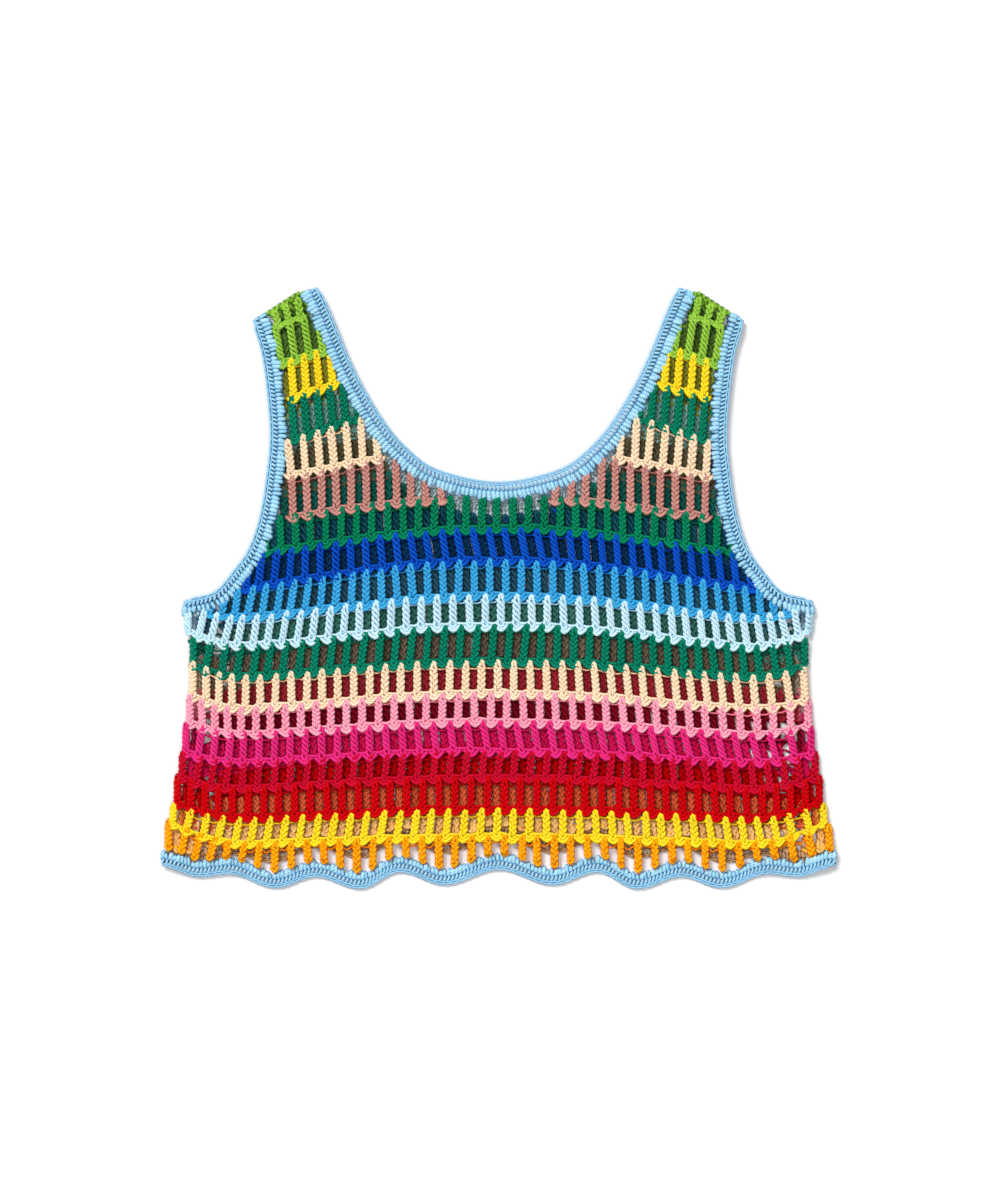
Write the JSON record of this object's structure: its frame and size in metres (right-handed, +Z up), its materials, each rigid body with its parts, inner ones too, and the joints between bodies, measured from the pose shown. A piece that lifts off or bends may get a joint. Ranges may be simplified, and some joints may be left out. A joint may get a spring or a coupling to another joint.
{
  "type": "crochet top, laid flat",
  "caption": "Sleeveless crochet top in open striped stitches, laid flat with its front up, with bordered neck and armholes and a scalloped hem.",
  "frame": {"origin": "middle of the laid top's box, on the surface it lies on", "axes": "+X across the top, +Y up the top from the hem to the shoulders, +Z up from the surface, out of the front"},
  "size_m": [0.4734, 0.4222, 0.0069],
  "materials": {
    "front_stitches": "matt two-ply cotton yarn, striped row by row",
    "back_stitches": "matt two-ply cotton yarn, striped row by row",
    "border_yarn": "matt two-ply cotton yarn, pale blue"
  },
  "bodies": {
    "root": {"front_panel": "front_stitches", "back_panel": "back_stitches", "neck_border": "border_yarn", "armhole_border_left": "border_yarn", "armhole_border_right": "border_yarn", "hem_border": "border_yarn"}
  },
  "joints": []
}
